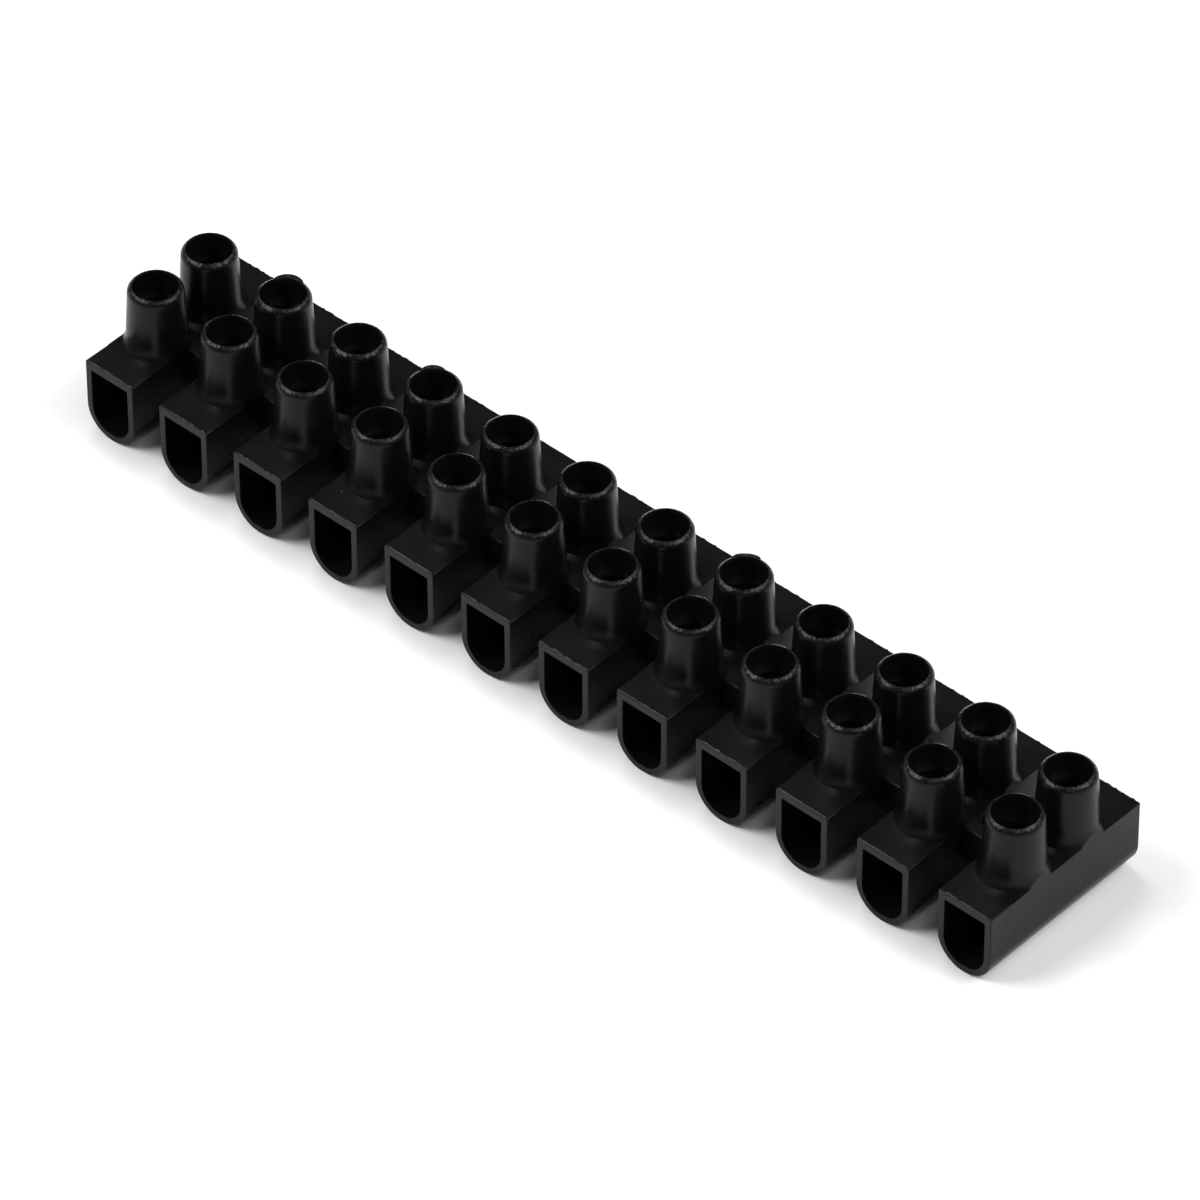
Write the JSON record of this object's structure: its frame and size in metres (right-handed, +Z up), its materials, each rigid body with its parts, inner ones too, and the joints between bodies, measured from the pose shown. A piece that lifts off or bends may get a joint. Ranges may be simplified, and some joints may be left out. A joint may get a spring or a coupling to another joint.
{
  "type": "terminal strip",
  "caption": "Black moulded terminal strip: a row of round-bottomed wire tunnels with paired screw chimneys, joined by fixing webs, with brass clamp barrels and slotted screws inside.",
  "frame": {"origin": "middle of the strip's length and depth, on the plane that the round pole bottoms rest on", "axes": "+X along the strip, -Y out of the front wire mouths, +Z up the screw chimneys"},
  "size_m": [0.093, 0.017, 0.0125],
  "materials": {
    "black_plastic": "injection-moulded black polypropylene with a satin skin",
    "brass": "drawn and drilled brass, unplated",
    "plated_steel": "turned steel with bright zinc plating"
  },
  "bodies": {
    "strip": {"housing": "black_plastic", "barrel_01": "brass", "barrel_02": "brass", "barrel_03": "brass", "barrel_04": "brass", "barrel_05": "brass", "barrel_06": "brass", "barrel_07": "brass", "barrel_08": "brass", "barrel_09": "brass", "barrel_10": "brass", "barrel_11": "brass", "barrel_12": "brass"},
    "screw_01_front": {"screw_01_front": "plated_steel"},
    "screw_01_back": {"screw_01_back": "plated_steel"},
    "screw_02_front": {"screw_02_front": "plated_steel"},
    "screw_02_back": {"screw_02_back": "plated_steel"},
    "screw_03_front": {"screw_03_front": "plated_steel"},
    "screw_03_back": {"screw_03_back": "plated_steel"},
    "screw_04_front": {"screw_04_front": "plated_steel"},
    "screw_04_back": {"screw_04_back": "plated_steel"},
    "screw_05_front": {"screw_05_front": "plated_steel"},
    "screw_05_back": {"screw_05_back": "plated_steel"},
    "screw_06_front": {"screw_06_front": "plated_steel"},
    "screw_06_back": {"screw_06_back": "plated_steel"},
    "screw_07_front": {"screw_07_front": "plated_steel"},
    "screw_07_back": {"screw_07_back": "plated_steel"},
    "screw_08_front": {"screw_08_front": "plated_steel"},
    "screw_08_back": {"screw_08_back": "plated_steel"},
    "screw_09_front": {"screw_09_front": "plated_steel"},
    "screw_09_back": {"screw_09_back": "plated_steel"},
    "screw_10_front": {"screw_10_front": "plated_steel"},
    "screw_10_back": {"screw_10_back": "plated_steel"},
    "screw_11_front": {"screw_11_front": "plated_steel"},
    "screw_11_back": {"screw_11_back": "plated_steel"},
    "screw_12_front": {"screw_12_front": "plated_steel"},
    "screw_12_back": {"screw_12_back": "plated_steel"}
  },
  "joints": [
    {"name": "clamp_01_front", "type": "slide", "parent": "strip", "child": "screw_01_front", "axis": [0, 0, -1], "range_m": [0, 0.00225]},
    {"name": "clamp_01_back", "type": "slide", "parent": "strip", "child": "screw_01_back", "axis": [0, 0, -1], "range_m": [0, 0.00225]},
    {"name": "clamp_02_front", "type": "slide", "parent": "strip", "child": "screw_02_front", "axis": [0, 0, -1], "range_m": [0, 0.00225]},
    {"name": "clamp_02_back", "type": "slide", "parent": "strip", "child": "screw_02_back", "axis": [0, 0, -1], "range_m": [0, 0.00225]},
    {"name": "clamp_03_front", "type": "slide", "parent": "strip", "child": "screw_03_front", "axis": [0, 0, -1], "range_m": [0, 0.00225]},
    {"name": "clamp_03_back", "type": "slide", "parent": "strip", "child": "screw_03_back", "axis": [0, 0, -1], "range_m": [0, 0.00225]},
    {"name": "clamp_04_front", "type": "slide", "parent": "strip", "child": "screw_04_front", "axis": [0, 0, -1], "range_m": [0, 0.00225]},
    {"name": "clamp_04_back", "type": "slide", "parent": "strip", "child": "screw_04_back", "axis": [0, 0, -1], "range_m": [0, 0.00225]},
    {"name": "clamp_05_front", "type": "slide", "parent": "strip", "child": "screw_05_front", "axis": [0, 0, -1], "range_m": [0, 0.00225]},
    {"name": "clamp_05_back", "type": "slide", "parent": "strip", "child": "screw_05_back", "axis": [0, 0, -1], "range_m": [0, 0.00225]},
    {"name": "clamp_06_front", "type": "slide", "parent": "strip", "child": "screw_06_front", "axis": [0, 0, -1], "range_m": [0, 0.00225]},
    {"name": "clamp_06_back", "type": "slide", "parent": "strip", "child": "screw_06_back", "axis": [0, 0, -1], "range_m": [0, 0.00225]},
    {"name": "clamp_07_front", "type": "slide", "parent": "strip", "child": "screw_07_front", "axis": [0, 0, -1], "range_m": [0, 0.00225]},
    {"name": "clamp_07_back", "type": "slide", "parent": "strip", "child": "screw_07_back", "axis": [0, 0, -1], "range_m": [0, 0.00225]},
    {"name": "clamp_08_front", "type": "slide", "parent": "strip", "child": "screw_08_front", "axis": [0, 0, -1], "range_m": [0, 0.00225]},
    {"name": "clamp_08_back", "type": "slide", "parent": "strip", "child": "screw_08_back", "axis": [0, 0, -1], "range_m": [0, 0.00225]},
    {"name": "clamp_09_front", "type": "slide", "parent": "strip", "child": "screw_09_front", "axis": [0, 0, -1], "range_m": [0, 0.00225]},
    {"name": "clamp_09_back", "type": "slide", "parent": "strip", "child": "screw_09_back", "axis": [0, 0, -1], "range_m": [0, 0.00225]},
    {"name": "clamp_10_front", "type": "slide", "parent": "strip", "child": "screw_10_front", "axis": [0, 0, -1], "range_m": [0, 0.00225]},
    {"name": "clamp_10_back", "type": "slide", "parent": "strip", "child": "screw_10_back", "axis": [0, 0, -1], "range_m": [0, 0.00225]},
    {"name": "clamp_11_front", "type": "slide", "parent": "strip", "child": "screw_11_front", "axis": [0, 0, -1], "range_m": [0, 0.00225]},
    {"name": "clamp_11_back", "type": "slide", "parent": "strip", "child": "screw_11_back", "axis": [0, 0, -1], "range_m": [0, 0.00225]},
    {"name": "clamp_12_front", "type": "slide", "parent": "strip", "child": "screw_12_front", "axis": [0, 0, -1], "range_m": [0, 0.00225]},
    {"name": "clamp_12_back", "type": "slide", "parent": "strip", "child": "screw_12_back", "axis": [0, 0, -1], "range_m": [0, 0.00225]}
  ]
}
